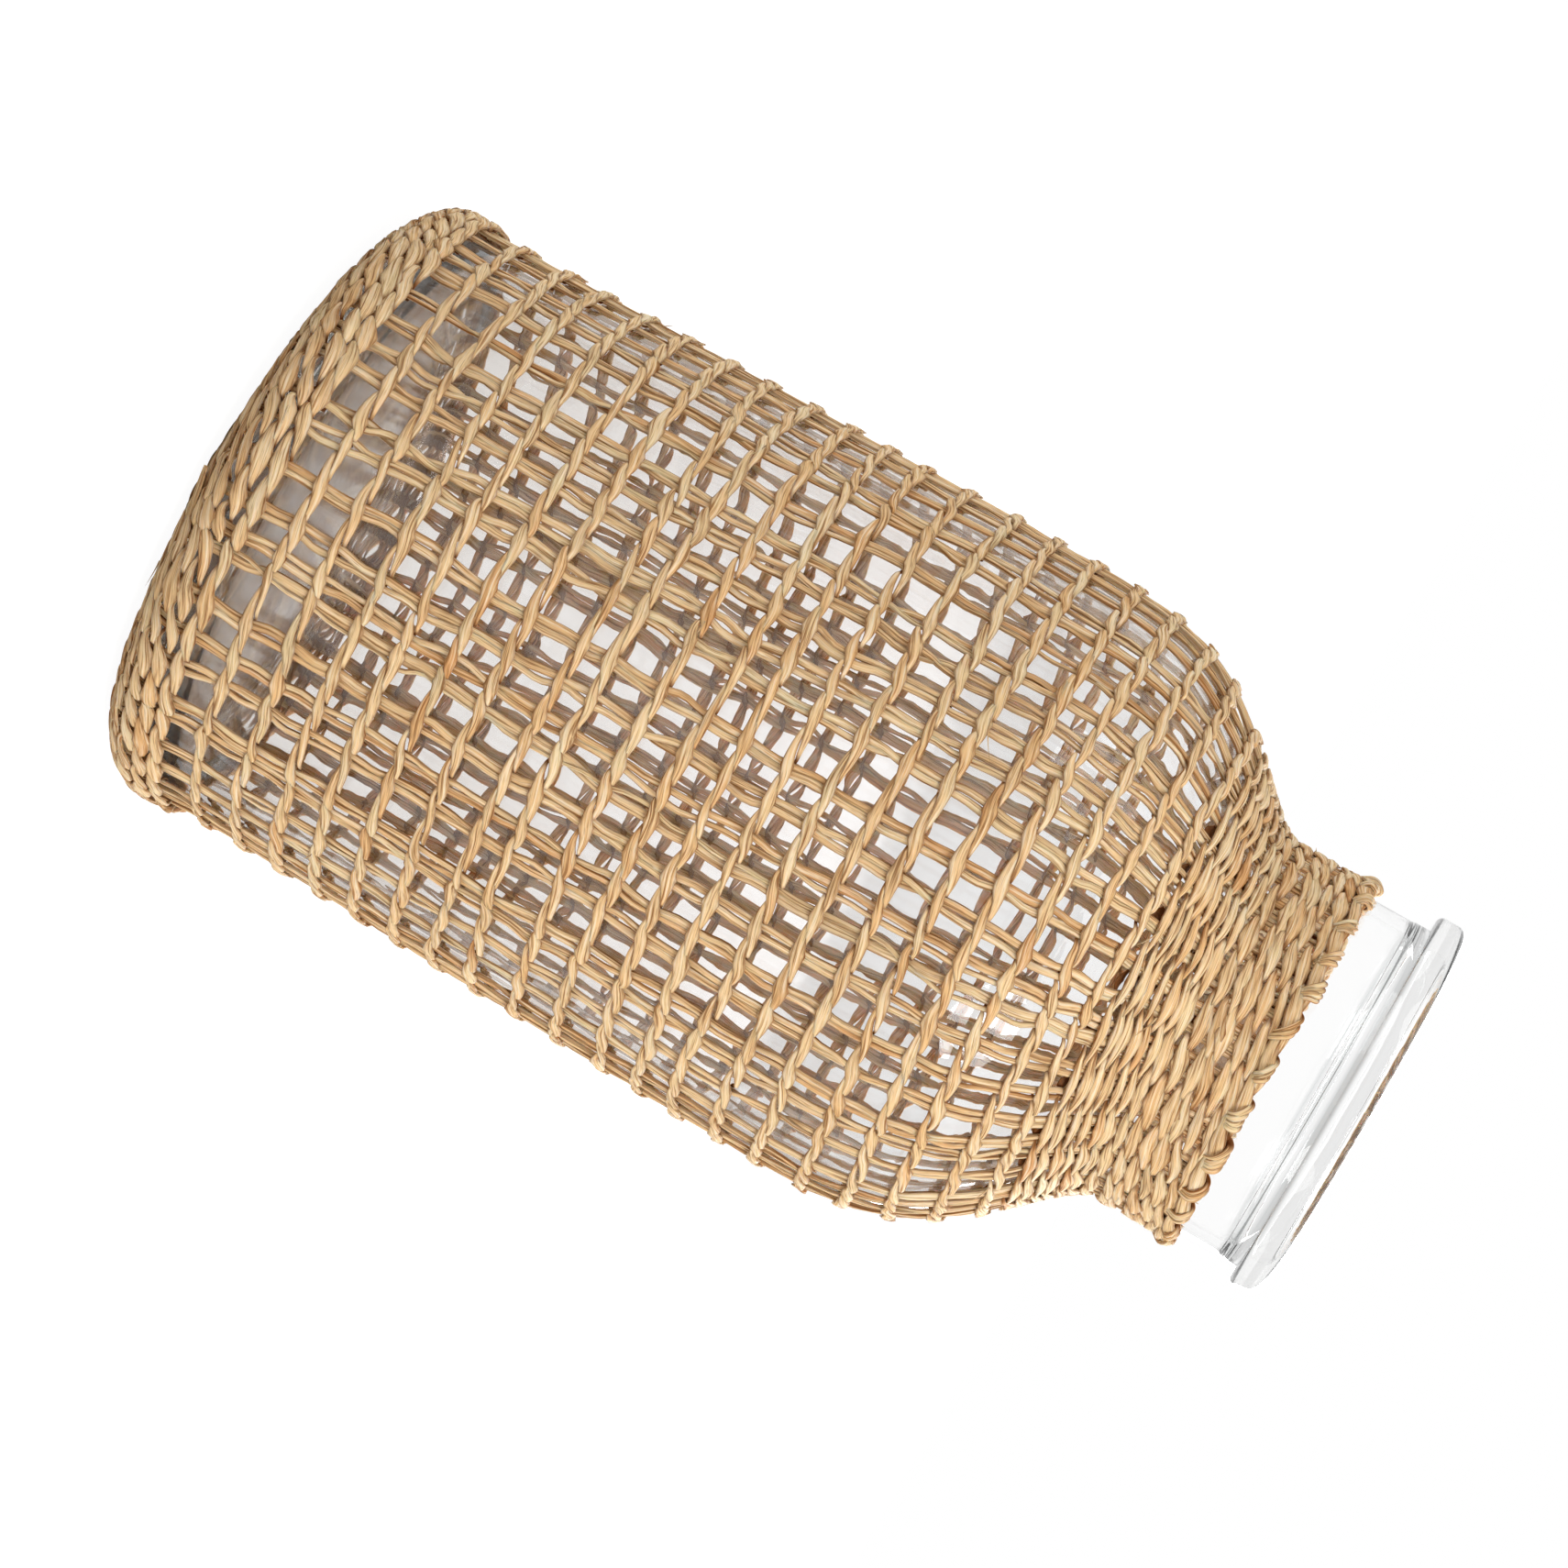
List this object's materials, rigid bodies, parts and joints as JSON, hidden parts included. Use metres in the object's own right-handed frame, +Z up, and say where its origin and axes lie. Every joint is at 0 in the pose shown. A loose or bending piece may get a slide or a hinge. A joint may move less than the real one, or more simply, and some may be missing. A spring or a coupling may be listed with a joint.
{
  "type": "rattan-wrapped vase",
  "caption": "Wide-mouthed clear glass bottle vase in a permanent open sleeve of twined natural fibre, with a bare glass rim.",
  "frame": {"origin": "on the floor at the middle of the woven base", "axes": "+Z up along the bottle's axis; the object is round, so +X and +Y are free"},
  "size_m": [0.154, 0.1532, 0.2803],
  "materials": {
    "glass": "clear blown glass, glossy, slightly wavy, faint green-grey in the thick base",
    "stake_fibre": "split straw-coloured strands, satin skin with lengthwise fibres, unvarnished",
    "weft_fibre": "twined straw-coloured strands, satin skin with lengthwise fibres, unvarnished",
    "border_fibre": "plaited straw-coloured strands, satin, unvarnished",
    "base_fibre": "close-woven straw-coloured strands, matt where they rub, unvarnished"
  },
  "bodies": {
    "root": {"glass_bottle": "glass", "woven_base": "base_fibre", "stake_bundle_01": "stake_fibre", "stake_bundle_02": "stake_fibre", "stake_bundle_03": "stake_fibre", "stake_bundle_04": "stake_fibre", "stake_bundle_05": "stake_fibre", "stake_bundle_06": "stake_fibre", "stake_bundle_07": "stake_fibre", "stake_bundle_08": "stake_fibre", "stake_bundle_09": "stake_fibre", "stake_bundle_10": "stake_fibre", "stake_bundle_11": "stake_fibre", "stake_bundle_12": "stake_fibre", "stake_bundle_13": "stake_fibre", "stake_bundle_14": "stake_fibre", "stake_bundle_15": "stake_fibre", "stake_bundle_16": "stake_fibre", "stake_bundle_17": "stake_fibre", "stake_bundle_18": "stake_fibre", "base_band_row_01": "weft_fibre", "base_band_row_02": "weft_fibre", "base_band_row_03": "weft_fibre", "base_band_row_04": "weft_fibre", "base_band_row_05": "weft_fibre", "open_row_01": "weft_fibre", "open_row_02": "weft_fibre", "open_row_03": "weft_fibre", "open_row_04": "weft_fibre", "open_row_05": "weft_fibre", "open_row_06": "weft_fibre", "open_row_07": "weft_fibre", "open_row_08": "weft_fibre", "open_row_09": "weft_fibre", "open_row_10": "weft_fibre", "open_row_11": "weft_fibre", "open_row_12": "weft_fibre", "open_row_13": "weft_fibre", "open_row_14": "weft_fibre", "open_row_15": "weft_fibre", "open_row_16": "weft_fibre", "open_row_17": "weft_fibre", "open_row_18": "weft_fibre", "open_row_19": "weft_fibre", "open_row_20": "weft_fibre", "shoulder_row_01": "weft_fibre", "shoulder_row_02": "weft_fibre", "shoulder_row_03": "weft_fibre", "shoulder_row_04": "weft_fibre", "shoulder_row_05": "weft_fibre", "shoulder_row_06": "weft_fibre", "neck_row_01": "weft_fibre", "neck_row_02": "weft_fibre", "neck_row_03": "weft_fibre", "neck_row_04": "weft_fibre", "neck_row_05": "weft_fibre", "neck_row_06": "weft_fibre", "border_braid": "border_fibre"}
  },
  "joints": []
}
